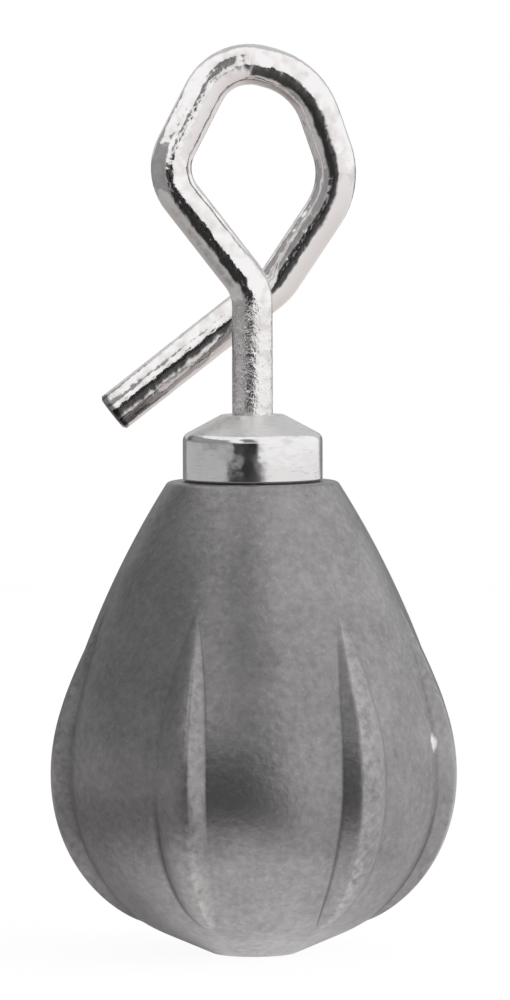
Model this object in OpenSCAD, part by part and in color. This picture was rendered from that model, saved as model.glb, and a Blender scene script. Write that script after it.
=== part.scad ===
// Ribbed teardrop fishing sinker with a swivelling line eye.
// Millimetres, +Z up. The origin is the centre of the flat base, and the front is towards -Y.
// The weight is a sintered teardrop. A plated barrel is bonded into its top, and the bent
// wire eye hangs in the barrel by an upset head, so that it spins without end about Z.

/* [Sinker body] */
// Diameter of the teardrop at its widest, between the ribs
body_d = 8.72; // [8:0.02:9.6]
// Height from the base to the flat top that the barrel sits on
body_h = 10.49; // [9.8:0.01:11.6]
// Height of the widest point
belt_h = 4.06; // [3.6:0.02:4.4]
// Diameter of the flat base
base_d = 1.9; // [1.5:0.1:2.4]
// Slope of the lower cone, from the horizontal
base_angle = 23.6; // [20:0.1:28]
// Diameter of the flat top, before its edge is rounded
top_d = 3.77; // [3.6:0.01:4.2]
// Slope of the flank at the top, from the vertical
neck_angle = 32.4; // [30:0.1:36]
// How far the rounder lower part of the flank reaches above the widest point
belt_rise = 0.84; // [0.7:0.02:1.1]
// Radius of the rounded edge of the flat top
top_edge_r = 0.14; // [0.08:0.01:0.16]

/* [Ribs] */
// Angles of the ribs of one half, from the front; the other half repeats them behind
rib_angles = [-75.5, -21.5, 34, 75.5]; // [-80:0.5:80]
// Width of a rib at its widest
rib_w = 1.18; // [0.8:0.02:1.4]
// How far a rib stands out of the body where it is widest
rib_rise = 0.27; // [0.14:0.01:0.34]
// How far a rib's crest lies off its middle, as a share of half its width: inwards, seen from the front
crest_shift = 0.35; // [0:0.05:0.5]
// Height at which a rib runs out on the flank
rib_top_h = 7.9; // [7:0.1:8.2]
// Height at which a rib runs out on the underside
rib_foot_h = 0.78; // [0.6:0.02:1]

/* [Swivel barrel] */
// Diameter of the collar
collar_d = 3.1; // [2.9:0.05:3.4]
// Height of the collar up to the corner of its cone
collar_h = 1.02; // [0.9:0.02:1.2]
// Slope of the spun-over cone, from the horizontal
cone_angle = 28.2; // [24:0.1:32]
// Diameter of the small flat round the wire
rim_d = 1.38; // [1.25:0.01:1.5]
// Radius of the rounded corner between the collar and its cone
corner_r = 0.2; // [0.1:0.01:0.25]
// Bevel round the foot of the collar
foot_bevel = 0.06; // [0.03:0.01:0.1]
// Thickness of the collar's wall
wall_t = 0.4; // [0.34:0.02:0.46]
// Thickness of the spun-over cone
cone_t = 0.38; // [0.3:0.02:0.42]
// Diameter of the stem that is bonded into the body
stem_d = 1.9; // [1.6:0.05:2.1]
// Length of the stem
stem_l = 3.2; // [2.6:0.1:3.8]
// Number of glue grooves round the stem
groove_n = 3; // [2:1:4]
// Width of a glue groove
groove_w = 0.3; // [0.2:0.02:0.36]
// Depth of a glue groove
groove_depth = 0.12; // [0.08:0.01:0.16]
// Bevel on the end of the stem
stem_bevel = 0.15; // [0.1:0.01:0.2]

/* [Line eye] */
// Diameter of the wire
wire_d = 0.9; // [0.8:0.02:1]
// Radial gap between the wire and the hole that it spins in
neck_gap = 0.05; // [0.03:0.01:0.08]
// Diameter of the upset head that holds the wire in the barrel
head_d = 1.9; // [1.7:0.02:2]
// Height of the head's straight rim
head_h = 0.34; // [0.26:0.02:0.4]
// End float of the head in its cavity, above and below
head_float = 0.1; // [0.06:0.01:0.14]
// Length of the straight wire from the barrel to the throat of the eye
shank_l = 2.79; // [2.4:0.01:3.2]
// Half the width of the eye, between its centreline's corners
eye_half_w = 2.04; // [1.9:0.05:2.4]
// Height of the eye, between its centreline's corners
eye_h = 5.15; // [4.7:0.05:5.7]
// How far the tail reaches to the side of the shank
tail_reach = 3.08; // [2.6:0.02:3.4]
// How far the tail's end lies below the throat
tail_drop = 2.78; // [2.3:0.02:3]
// Gap between the shank and the tail behind it, which pinches the line
pinch_gap = 0.06; // [0.04:0.01:0.1]

/* [Bond] */
// Thickness of the adhesive round the stem
bond_t = 0.1; // [0.06:0.01:0.14]
// Depth of adhesive under the stem
bond_pool = 0.25; // [0.15:0.05:0.4]
// Bevel at the mouth of the body's bore
mouth_bevel = 0.1; // [0.06:0.01:0.14]

/* [Hidden] */
$fn = 96;
// Facets round a full circle of the wire or of its bends, so that its mesh stays light
wire_facets = 60;
// How far a cutter or an inner end runs past the face that it has to pass
overrun = 0.2;

// Body outline, as radius and height
body_r = body_d / 2;
base_r = base_d / 2;
top_r = top_d / 2;
belt_point = [body_r, belt_h];
top_point = [top_r, body_h];

// Shoulder: one arc from the widest point down to the lower cone
cone_corner_h = (body_r - base_r) * tan(base_angle);
shoulder_trim = belt_h - cone_corner_h;
shoulder_r = shoulder_trim / tan((90 - base_angle) / 2);
shoulder_centre = [body_r - shoulder_r, belt_h];
shoulder_point = [body_r, cone_corner_h] - shoulder_trim * [cos(base_angle), sin(base_angle)];

// Flank: two arcs that run smoothly into each other, upright at the belt and neck_angle at the top.
// The upper one bows inwards, with a radius below 0, where the body is too short for it to bow out.
top_slope = [-sin(neck_angle), cos(neck_angle)];
flank_chord = top_point - belt_point;
neck_reach = (flank_chord * flank_chord - 2 * belt_rise * flank_chord.y)
    / (2 * (flank_chord * top_slope + belt_rise * (1 - top_slope.y)));
belt_corner = belt_point + [0, belt_rise];
neck_corner = top_point - neck_reach * top_slope;
flank_dir = (neck_corner - belt_corner) / norm(neck_corner - belt_corner);
flank_turn = atan2(-flank_dir.x, flank_dir.y);
flank_point = belt_corner + belt_rise * flank_dir;
flank_r = belt_rise / tan(flank_turn / 2);
flank_centre = [body_r - flank_r, belt_h];
neck_r = neck_reach / tan((neck_angle - flank_turn) / 2);
neck_centre = top_point - neck_r * [cos(neck_angle), sin(neck_angle)];

// Rounded edge of the flat top
edge_trim = top_edge_r * tan((90 - neck_angle) / 2);
edge_centre = [top_r - edge_trim, body_h - top_edge_r];
edge_side_point = edge_centre + top_edge_r * [cos(neck_angle), sin(neck_angle)];

// Skin of the ribbed teardrop: rings of points at these heights, each with the same number of points
rib_low_steps = 13;
rib_up_steps = 11;
neck_steps = 5;
edge_steps = 2;
skin_heights = concat(
    [0],
    [for (i = [rib_low_steps : -1 : 1]) belt_h - (belt_h - rib_foot_h) * sin(90 * i / rib_low_steps)],
    [for (i = [0 : rib_up_steps - 1]) belt_h + (rib_top_h - belt_h) * i / rib_up_steps],
    [for (i = [0 : neck_steps - 1]) rib_top_h + (edge_side_point.y - rib_top_h) * i / neck_steps]
);
all_ribs = concat(rib_angles, [for (angle = rib_angles) angle + 180]);
rib_n = len(all_ribs);
// Points across a rib on each side of its crest, and steps from one rib to the next
rib_side_steps = 5;
gap_steps = 5;
// Roundness of a rib's crest on its inner side, which runs straight beyond it
crest_share = 0.18;
// Power that makes a rib's outer side full, with its steepest part at its foot
outer_power = 2.5;
// Narrowest spacing of a rib's points, where the rib has run out, as a share of its full width
run_out_share = 0.15;
// Power of a rib's width share that its rise follows towards its ends
fade_power = 1.5;

// Barrel
collar_r = collar_d / 2;
stem_r = stem_d / 2;
rim_r = rim_d / 2;
wire_r = wire_d / 2;
neck_hole_r = wire_r + neck_gap;
cavity_r = collar_r - wall_t;
head_r = head_d / 2;
cone_slope = tan(cone_angle);
cone_corner = [collar_r, body_h + collar_h];
rim_h = cone_corner.y + (collar_r - rim_r) * cone_slope;
corner_trim = corner_r * tan((90 - cone_angle) / 2);
corner_centre = [collar_r - corner_r, cone_corner.y - corner_trim];
// Height of the cavity's cone where it would meet the axis
cavity_apex_h = cone_corner.y + collar_r * cone_slope - cone_t / cos(cone_angle);
head_apex_h = cavity_apex_h - head_float;
head_rim_h = head_apex_h - head_r * cone_slope;
head_foot_h = head_rim_h - head_h;
cavity_floor_h = head_foot_h - head_float;
stem_foot_h = body_h - stem_l;
groove_pitch = stem_l / (groove_n + 1);
bore_r = stem_r + bond_t;
bore_floor_h = stem_foot_h - bond_pool;

// Eye: corners of the wire's centreline, seen from the front, as shares of the eye's size.
// The wire is drawn from its throat, the corner at the top of the shank, and then lifted into place.
eye_side_shares = [0, -0.966, -0.31, 0.6, 1, 0.26];
eye_height_shares = [0, 0.495, 1, 0.903, 0.448, 0.008];
// How far each corner lies behind the shank, as shares of the tail's place
eye_depth_shares = [0, 0, 0.29, 0.48, 0.73, 1];
// Bend radius at each corner, as shares of the eye's half width
eye_bend_shares = [0.52, 0.52, 0.56, 0.79, 0.8, 0.52];
throat_h = rim_h + shank_l;
tail_y = wire_d + pinch_gap;
eye_corners = [
    for (i = [0 : len(eye_side_shares) - 1])
        [
            eye_side_shares[i] * eye_half_w,
            eye_depth_shares[i] * tail_y,
            eye_height_shares[i] * eye_h
        ]
];
tail_end = [-tail_reach, tail_y, -tail_drop];
wire_corners = concat([[0, 0, -shank_l]], eye_corners, [tail_end]);
wire_bends = concat([0], eye_bend_shares * eye_half_w, [0]);

function unit(v) = v / norm(v);

// Angle by which a path turns at corner i
function turn_at(p, i) = acos(unit(p[i] - p[i - 1]) * unit(p[i + 1] - p[i]));

// Length that the bend at corner i takes from the straight on each side of it
function trim_at(p, r, i) = r[i] == 0 ? 0 : r[i] * tan(turn_at(p, i) / 2);

// Radius of the plain teardrop at height h
function plain_radius(h) =
    h < shoulder_point.y ? base_r + h / tan(base_angle)
    : h < belt_h ? shoulder_centre.x + sqrt(pow(shoulder_r, 2) - pow(belt_h - h, 2))
    : h < flank_point.y ? flank_centre.x + sqrt(pow(flank_r, 2) - pow(h - belt_h, 2))
    : neck_centre.x + sign(neck_r) * sqrt(pow(neck_r, 2) - pow(h - neck_centre.y, 2));

// Direction that the plain teardrop faces at height h, as an angle above the horizontal
function plain_facing(h) =
    h < shoulder_point.y ? base_angle - 90
    : h < belt_h ? -asin((belt_h - h) / shoulder_r)
    : h < flank_point.y ? asin((h - belt_h) / flank_r)
    : asin((h - neck_centre.y) / neck_r);

// Width of a rib at height h, as a share of its full width
function rib_share(h) =
    h < rib_foot_h || h > rib_top_h ? 0
    : h < belt_h ? sqrt(1 - pow((belt_h - h) / (belt_h - rib_foot_h), 3))
    : 1 - pow((h - belt_h) / (rib_top_h - belt_h), 2);

// Height of a rib, as a share of its rise, at a place: 0 at its crest, 1 at its inner foot, -1 at its outer
function roof_share(place) =
    place < 0 ? 1 - pow(-place, outer_power)
    : (norm([1, crest_share]) - norm([place, crest_share])) / (norm([1, crest_share]) - crest_share);

// Angle round the axis from a rib's crest to its side
function rib_half_turn(h, r) = atan(max(rib_share(h), run_out_share) * rib_w / 2 / r);

// 1 where the inner side of rib i lies the way its angle grows, or else -1
function inner_turn(i) = all_ribs[i % len(rib_angles)] > 0 ? -1 : 1;

// Angles of a ring's points, each with its place on its rib
function ring_places(half_turn) = [
    for (i = [0 : rib_n - 1])
        let (
            inner = inner_turn(i),
            crest = inner * crest_shift,
            side = all_ribs[i] + half_turn,
            next = i < rib_n - 1 ? all_ribs[i + 1] : all_ribs[0] + 360,
            step = (next - half_turn - side) / gap_steps
        )
            each concat(
                [for (j = [-rib_side_steps : rib_side_steps])
                    let (down = j / rib_side_steps)
                        [all_ribs[i] + half_turn * (crest + down * (1 - crest * sign(down))), down * inner]],
                [for (j = [1 : gap_steps - 1]) [side + step * j, 1]]
            )
];

// Points of the skin at height h: the ribs stand out square to the plain teardrop
function skin_ring(h) =
    let (
        r = plain_radius(h),
        facing = plain_facing(h),
        rise = rib_rise * pow(rib_share(h), fade_power)
    ) [
        for (place = ring_places(rib_half_turn(h, r)))
            let (
                out = rise * roof_share(place[1]),
                far = r + out * cos(facing)
            )
                [far * sin(place[0]), -far * cos(place[0]), h + out * sin(facing)]
    ];

// Points of the rounded edge of the flat top, where its arc faces the angle given
function edge_ring(facing) =
    let (r = edge_centre.x + top_edge_r * cos(facing)) [
        for (place = ring_places(rib_half_turn(body_h, r)))
            [r * sin(place[0]), -r * cos(place[0]), edge_centre.y + top_edge_r * sin(facing)]
    ];

// The ribbed teardrop as one closed skin, with the middle of the base and of the top as its last points
module ribbed_teardrop() {
    rings = concat(
        [for (h = skin_heights) skin_ring(h)],
        [for (i = [0 : edge_steps]) edge_ring(neck_angle + (90 - neck_angle) * i / edge_steps)]
    );
    ring_n = len(rings);
    n = len(rings[0]);
    points = concat([for (ring = rings) each ring], [[0, 0, 0], [0, 0, body_h]]);
    sides = [
        for (i = [0 : ring_n - 2], j = [0 : n - 1])
            let (a = i * n + j, b = i * n + (j + 1) % n)
                each [[a, a + n, b + n], [a, b + n, b]]
    ];
    base = [for (j = [0 : n - 1]) [j, (j + 1) % n, ring_n * n]];
    top = [for (j = [0 : n - 1]) [(ring_n - 1) * n + (j + 1) % n, (ring_n - 1) * n + j, ring_n * n + 1]];
    polyhedron(points, concat(sides, base, top));
}

// Space for the barrel's stem and its adhesive
module stem_bore(top_h) {
    translate([0, 0, bore_floor_h]) cylinder(r = bore_r, h = top_h - bore_floor_h);
    translate([0, 0, body_h - mouth_bevel])
        cylinder(r1 = bore_r, r2 = bore_r + mouth_bevel, h = mouth_bevel);
}

// Pressed and sintered teardrop with its ribs and the blind bore in its top
module sinker_body() {
    color([0.46, 0.45, 0.45]) difference() {
        ribbed_teardrop();
        stem_bore(body_h + overrun);
    }
}

// The part of a disc between its chord from p to q and its arc, on the right of p to q
module bow(p, q, centre, r) {
    side = unit([q.y - p.y, p.x - q.x]) * r;
    intersection() {
        translate(centre) circle(r = r);
        polygon([p, p + side, q + side, q]);
    }
}

// Half section of the barrel's outside: grooved stem, collar and spun-over cone
module barrel_outline() {
    polygon([
        [0, stem_foot_h],
        [stem_r - stem_bevel, stem_foot_h],
        [stem_r, stem_foot_h + stem_bevel],
        [stem_r, body_h],
        [collar_r - foot_bevel, body_h],
        [collar_r, body_h + foot_bevel],
        [collar_r, corner_centre.y],
        corner_centre + corner_r * [sin(cone_angle), cos(cone_angle)],
        [rim_r, rim_h],
        [0, rim_h]
    ]);
    bow(
        [collar_r, corner_centre.y],
        corner_centre + corner_r * [sin(cone_angle), cos(cone_angle)],
        corner_centre,
        corner_r
    );
}

// Half section of the cavity that holds the wire's head, and of the neck hole above it
module cavity_outline() {
    polygon([
        [0, cavity_floor_h],
        [cavity_r, cavity_floor_h],
        [cavity_r, cavity_apex_h - cavity_r * cone_slope],
        [neck_hole_r, cavity_apex_h - neck_hole_r * cone_slope],
        [neck_hole_r, rim_h + overrun],
        [0, rim_h + overrun]
    ]);
}

// The rings that are turned into the stem for the adhesive
module groove_outlines() {
    for (i = [1 : groove_n])
        translate([stem_r - groove_depth, stem_foot_h + i * groove_pitch - groove_w / 2])
            square([groove_depth + overrun, groove_w]);
}

module swivel_barrel() {
    color([0.78, 0.78, 0.78]) rotate_extrude() difference() {
        barrel_outline();
        cavity_outline();
        groove_outlines();
    }
}

// Straight round bar between two points
module bar(a, b, d) {
    run = b - a;
    translate(a) rotate([0, acos(run.z / norm(run)), atan2(run.y, run.x)]) cylinder(d = d, h = norm(run));
}

// Bend of radius r at a corner, between the directions from and to
module bend(corner, from, to, r, d) {
    turn = acos(from * to);
    inward = unit(to - from * (from * to));
    centre = corner - from * r * tan(turn / 2) + inward * r;
    across = cross(from, inward);
    multmatrix([
        [-inward.x, from.x, across.x, centre.x],
        [-inward.y, from.y, across.y, centre.y],
        [-inward.z, from.z, across.z, centre.z],
        [0, 0, 0, 1]
    ]) rotate_extrude(angle = turn) translate([r, 0]) circle(d = d);
}

// Wire of diameter d through the corners p, with the bend radii r
module bent_wire(p, r, d) {
    for (i = [1 : len(p) - 1]) {
        dir = unit(p[i] - p[i - 1]);
        bar(p[i - 1] + dir * trim_at(p, r, i - 1), p[i] - dir * trim_at(p, r, i), d);
        if (i < len(p) - 1) bend(p[i], dir, unit(p[i + 1] - p[i]), r[i], d);
    }
}

// Upset head and the stretch of wire inside the barrel
module wire_head() {
    rotate_extrude() polygon([
        [0, head_foot_h],
        [head_r, head_foot_h],
        [head_r, head_rim_h],
        [wire_r, head_apex_h - wire_r * cone_slope],
        [wire_r, rim_h],
        [0, rim_h]
    ]);
}

module line_eye() {
    $fn = wire_facets;
    color([0.8, 0.8, 0.8]) {
        wire_head();
        translate([0, 0, throat_h]) bent_wire(wire_corners, wire_bends, wire_d);
    }
}

// Cured adhesive: what is left of the bore round and under the stem
module adhesive_bond() {
    color([0.75, 0.68, 0.5]) difference() {
        stem_bore(body_h);
        rotate_extrude() difference() {
            polygon([
                [0, stem_foot_h],
                [stem_r - stem_bevel, stem_foot_h],
                [stem_r, stem_foot_h + stem_bevel],
                [stem_r, body_h + overrun],
                [0, body_h + overrun]
            ]);
            groove_outlines();
        }
    }
}

sinker_body();
swivel_barrel();
line_eye();
adhesive_bond();
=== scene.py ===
# %% [markdown]
# # A drop shot sinker, dressed around its CAD frame
# The sinker is a teardrop of sintered tungsten with low ribs, a plated barrel in its top and a bent
# wire eye that spins in the barrel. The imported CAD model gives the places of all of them, so the
# first step is to load it. Every length below is in millimetres and is turned into Blender's metres
# where it is used, because a sinker is easier to think about in millimetres.

# %% Load the frame
import math

import bpy
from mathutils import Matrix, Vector


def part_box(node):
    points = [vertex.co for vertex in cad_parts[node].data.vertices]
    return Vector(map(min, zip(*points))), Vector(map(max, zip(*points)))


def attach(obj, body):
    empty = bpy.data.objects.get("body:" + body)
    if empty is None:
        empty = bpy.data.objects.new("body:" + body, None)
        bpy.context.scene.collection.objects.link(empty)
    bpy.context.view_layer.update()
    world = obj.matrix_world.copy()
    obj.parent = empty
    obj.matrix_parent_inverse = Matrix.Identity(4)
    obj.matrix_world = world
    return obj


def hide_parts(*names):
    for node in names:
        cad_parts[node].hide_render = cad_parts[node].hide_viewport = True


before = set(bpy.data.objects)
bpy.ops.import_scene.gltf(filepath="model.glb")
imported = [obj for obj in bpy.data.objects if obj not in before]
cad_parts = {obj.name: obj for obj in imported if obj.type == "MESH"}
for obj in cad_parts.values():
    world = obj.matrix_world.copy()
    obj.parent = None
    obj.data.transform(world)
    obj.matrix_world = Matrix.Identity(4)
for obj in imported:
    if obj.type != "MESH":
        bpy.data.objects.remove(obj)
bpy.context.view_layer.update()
MM = 0.001
print("CAD nodes:", sorted(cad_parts))

# %% [markdown]
# ## Sizes that the pieces share
# A turned or pressed piece is described best by the few sizes on its drawing. The wire's size, the
# flat top and the barrel's rim are each needed by two pieces, so they are written once, here. The
# heights come from the frame, so that each piece sits where its CAD solid sits.

# %% Shared sizes
BODY_TOP_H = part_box("sinker_body")[1].z / MM
RIM_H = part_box("swivel_barrel")[1].z / MM
STEM_FOOT_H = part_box("swivel_barrel")[0].z / MM
BORE_FLOOR_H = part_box("adhesive_bond")[0].z / MM
WIRE_R = 0.45
BORE_R = 1.05
MOUTH_BEVEL = 0.1
print("flat top at", round(BODY_TOP_H, 3), "mm, rim at", round(RIM_H, 3), "mm")

# %% [markdown]
# ## Tracing an outline and turning it
# Round pieces could start as stacked cylinders, but every step between them would then need its
# own fillet. A lathe works from half a section instead: one point is extruded from corner to
# corner along the outline, and the finished line is spun once round the axis. Arcs are short
# extrudes, and a corner is rounded before it is traced, by putting an arc in its place.


# %% Outline helpers
def arc(centre, radius, start, end, steps):
    """Points of an arc between two angles, in degrees above the outward side."""
    angles = [math.radians(start + (end - start) * i / steps) for i in range(steps + 1)]
    return [(centre[0] + radius * math.cos(a), centre[1] + radius * math.sin(a)) for a in angles]


def rounded(corners, steps=5):
    """An outline from corners (x, z, fillet radius): each corner with a radius becomes an arc."""
    points = []
    for i, (x, z, radius) in enumerate(corners):
        here = Vector((x, z))
        if radius == 0:
            points.append((x, z))
            continue
        back = (Vector(corners[i - 1][:2]) - here).normalized()
        on = (Vector(corners[i + 1][:2]) - here).normalized()
        half = back.angle(on) / 2
        centre = here + (back + on).normalized() * radius / math.sin(half)
        first = (here + back * radius / math.tan(half) - centre).normalized()
        last = (here + on * radius / math.tan(half) - centre).normalized()
        for k in range(steps + 1):
            point = centre + first.slerp(last, k / steps) * radius
            points.append((point.x, point.y))
    return points


def trace(name, points):
    """A new mesh object of edges alone, which join the points in the plane y = 0."""
    bpy.ops.object.select_all(action="DESELECT")
    bpy.ops.mesh.primitive_plane_add(size=MM, location=(0, 0, 0))
    piece = bpy.context.object
    piece.name = name
    bpy.ops.object.mode_set(mode="EDIT")
    bpy.ops.mesh.select_all(action="SELECT")
    bpy.ops.mesh.merge(type="CENTER")
    bpy.ops.transform.translate(value=(points[0][0] * MM, 0, points[0][1] * MM))
    for (x0, z0), (x1, z1) in zip(points, points[1:]):
        bpy.ops.mesh.extrude_region_move(
            TRANSFORM_OT_translate={"value": ((x1 - x0) * MM, 0, (z1 - z0) * MM)}
        )
    bpy.ops.object.mode_set(mode="OBJECT")
    return piece


WELD = 0.0005 * MM


def turn(piece, steps):
    """Spins the traced outline once round the Z axis and closes it, with its faces outwards."""
    bpy.ops.object.mode_set(mode="EDIT")
    bpy.ops.mesh.select_all(action="SELECT")
    bpy.ops.mesh.spin(steps=steps, angle=math.tau, center=(0, 0, 0), axis=(0, 0, 1))
    bpy.ops.mesh.select_all(action="SELECT")
    bpy.ops.mesh.remove_doubles(threshold=WELD)
    bpy.ops.mesh.normals_make_consistent(inside=False)
    bpy.ops.object.mode_set(mode="OBJECT")


def smooth(piece, degrees):
    """Smooth shading, with a crease where faces meet at more than the angle."""
    bpy.ops.object.select_all(action="DESELECT")
    bpy.context.view_layer.objects.active = piece
    piece.select_set(True)
    bpy.ops.object.shade_smooth_by_angle(angle=math.radians(degrees))
    piece.select_set(False)


def report(piece):
    """Prints a finished piece's faces and its size in millimetres."""
    size = [round(d / MM, 2) for d in piece.dimensions]
    print(piece.name, len(piece.data.polygons), "faces,", size, "mm")


# %% [markdown]
# ## The teardrop's outline
# The pressed body has a small flat to stand on, a straight cone, a rounded shoulder, and a flank
# of two arcs that lean in to the flat top. A bore goes down from the top for the barrel's stem.
# The places where two arcs meet follow from the sizes: both arcs share one tangent there.

# %% Body outline
BODY_R = 4.36
BELT_H = 4.06
BASE_R = 0.95
BASE_ANGLE = 23.6
TOP_R = 1.885
NECK_ANGLE = 32.4
BELT_RISE = 0.84
TOP_EDGE_R = 0.14

base_slope = math.radians(BASE_ANGLE)
neck_slope = math.radians(NECK_ANGLE)
shoulder_trim = BELT_H - (BODY_R - BASE_R) * math.tan(base_slope)
SHOULDER_R = shoulder_trim / math.tan((math.pi / 2 - base_slope) / 2)
shoulder_centre = (BODY_R - SHOULDER_R, BELT_H)

top_dir = Vector((-math.sin(neck_slope), math.cos(neck_slope)))
chord = Vector((TOP_R - BODY_R, BODY_TOP_H - BELT_H))
neck_reach = (chord.dot(chord) - 2 * BELT_RISE * chord.y) / (
    2 * (chord.dot(top_dir) + BELT_RISE * (1 - top_dir.y))
)
flank_dir = (Vector((TOP_R, BODY_TOP_H)) - neck_reach * top_dir
             - Vector((BODY_R, BELT_H + BELT_RISE))).normalized()
flank_turn = math.atan2(-flank_dir.x, flank_dir.y)
FLANK_R = BELT_RISE / math.tan(flank_turn / 2)
flank_centre = (BODY_R - FLANK_R, BELT_H)
NECK_R = neck_reach / math.tan((neck_slope - flank_turn) / 2)
neck_centre = (TOP_R - NECK_R * math.cos(neck_slope), BODY_TOP_H - NECK_R * math.sin(neck_slope))
FLANK_TOP_H = BELT_H + FLANK_R * math.sin(flank_turn)
SHOULDER_FOOT_H = BELT_H - SHOULDER_R * math.cos(base_slope)
print("shoulder radius", round(SHOULDER_R, 2), "flank", round(FLANK_R, 2), "neck", round(NECK_R, 2))


def plain_radius(h):
    """Radius of the teardrop between its ribs at height h."""
    if h < SHOULDER_FOOT_H:
        return BASE_R + h / math.tan(base_slope)
    if h < BELT_H:
        return shoulder_centre[0] + math.sqrt(SHOULDER_R ** 2 - (BELT_H - h) ** 2)
    if h < FLANK_TOP_H:
        return flank_centre[0] + math.sqrt(FLANK_R ** 2 - (h - BELT_H) ** 2)
    return neck_centre[0] + math.sqrt(NECK_R ** 2 - (h - neck_centre[1]) ** 2)


def plain_facing(h):
    """Angle above the horizontal that the teardrop faces at height h, in radians."""
    if h < SHOULDER_FOOT_H:
        return base_slope - math.pi / 2
    if h < BELT_H:
        return -math.asin((BELT_H - h) / SHOULDER_R)
    if h < FLANK_TOP_H:
        return math.asin((h - BELT_H) / FLANK_R)
    return math.asin((h - neck_centre[1]) / NECK_R)


# %% Trace and spin the body
COLUMNS_PER_RIB = 40
CONE_STEPS = 28
SHOULDER_STEPS = 52
FLANK_STEPS = 20
NECK_STEPS = 64
EDGE_STEPS = 6
FLAT_RING_R = BASE_R / 2

edge_trim = TOP_EDGE_R * math.tan((math.pi / 2 - neck_slope) / 2)
edge_centre = (TOP_R - edge_trim, BODY_TOP_H - TOP_EDGE_R)
edge_foot_h = edge_centre[1] + TOP_EDGE_R * math.sin(neck_slope)
neck_end = math.degrees(math.asin((edge_foot_h - neck_centre[1]) / NECK_R))
cone_top = (plain_radius(SHOULDER_FOOT_H), SHOULDER_FOOT_H)
cone = [
    (BASE_R + (cone_top[0] - BASE_R) * i / CONE_STEPS, cone_top[1] * i / CONE_STEPS)
    for i in range(CONE_STEPS)
]
skin = (
    [(0, 0), (FLAT_RING_R, 0)] + cone
    + arc(shoulder_centre, SHOULDER_R, BASE_ANGLE - 90, 0, SHOULDER_STEPS)
    + arc(flank_centre, FLANK_R, 0, math.degrees(flank_turn), FLANK_STEPS)[1:]
    + arc(neck_centre, NECK_R, math.degrees(flank_turn), neck_end, NECK_STEPS)[1:]
    + arc(edge_centre, TOP_EDGE_R, NECK_ANGLE, 90, EDGE_STEPS)[1:]
)
bore = [(BORE_R + MOUTH_BEVEL, BODY_TOP_H), (BORE_R, BODY_TOP_H - MOUTH_BEVEL),
        (BORE_R, BORE_FLOOR_H), (0, BORE_FLOOR_H)]
# The ribs' directions, in degrees from the front, growing to the right
RIB_TURNS = [-75.5, -21.5, 34, 75.5, 104.5, 158.5, 214, 255.5]
columns = COLUMNS_PER_RIB * len(RIB_TURNS)
body = trace("teardrop", skin + bore)
turn(body, columns)
report(body)

# %% [markdown]
# ## Raising the ribs
# The ribs are part of the pressing: each is widest near the belt, runs out to a point up the flank
# and ends more bluntly underneath. They could be separate bars joined with a Boolean, but the
# thin run-outs would leave ragged faces. Here the spun skin is shaped in place instead: its
# columns are slid round until some follow each rib's two sides at every height, and the points
# between them are lifted square to the skin. A rib isn't symmetrical: its crest lies off its
# middle, with a steep straight side towards the middle of the front or the back, while its outer
# side is full and drops at its foot.

# %% Rib shape
RIB_W = 1.18
RIB_RISE = 0.27
RIB_TOP_H = 7.9
RIB_FOOT_H = 0.78
CREST_SHIFT = 0.35
CREST_SHARE = 0.18
OUTER_POWER = 2.5
FOOT_POWER = 3
TOP_POWER = 2
RUN_OUT_SHARE = 0.12
RIB_COLUMNS = 30
REACH_SHARE = 1.25
FILLET = 0.015
FADE_POWER = 1.5
print(len(RIB_TURNS), "ribs from", RIB_FOOT_H, "to", RIB_TOP_H, "mm high")


def rib_share(h):
    """Width of a rib at height h, as a share of its full width."""
    if h <= RIB_FOOT_H or h >= RIB_TOP_H:
        return 0.0
    if h < BELT_H:
        return math.sqrt(1 - ((BELT_H - h) / (BELT_H - RIB_FOOT_H)) ** FOOT_POWER)
    return 1 - ((h - BELT_H) / (RIB_TOP_H - BELT_H)) ** TOP_POWER


def rib_lift(place, share):
    """Height of a rib over the skin at a place across it.

    The place is 0 at the crest, 1 at the inner foot and -1 at the outer foot.
    """
    full = math.hypot(1, CREST_SHARE)
    if place > 0:
        profile = (full - math.hypot(place, CREST_SHARE)) / (full - CREST_SHARE)
    else:
        profile = 1 - abs(place) ** OUTER_POWER
    height = RIB_RISE * share ** FADE_POWER * profile
    soft = FILLET * share
    return (height + math.sqrt(height ** 2 + soft ** 2)) / 2 if share > 0 else 0.0


def inner_turn(rib):
    """1 where a rib's inner side lies the way its angle grows, or else -1."""
    return 1 if RIB_TURNS[rib % 4] < 0 else -1


def turned_to(rib, place, half_turn):
    """Angle round the axis of a place on a rib."""
    across = CREST_SHIFT + place * (1 - math.copysign(1, place) * CREST_SHIFT)
    return RIB_TURNS[rib] + inner_turn(rib) * half_turn * across


def slide(rib, step, half_turn):
    """Where a column goes: its place across the rib, and its angle round the axis.

    The first columns of each rib lie on it, and the rest share out the plain skin up to the next.
    """
    if step <= RIB_COLUMNS:
        place = inner_turn(rib) * REACH_SHARE * (2 * step / RIB_COLUMNS - 1)
        return place, turned_to(rib, place, half_turn)
    after_rib = (rib + 1) % len(RIB_TURNS)
    last = turned_to(rib, inner_turn(rib) * REACH_SHARE, half_turn)
    after = turned_to(after_rib, -inner_turn(after_rib) * REACH_SHARE, half_turn)
    free = (step - RIB_COLUMNS) / (COLUMNS_PER_RIB - RIB_COLUMNS)
    return REACH_SHARE, last + (after - last) % 360 * free
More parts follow.
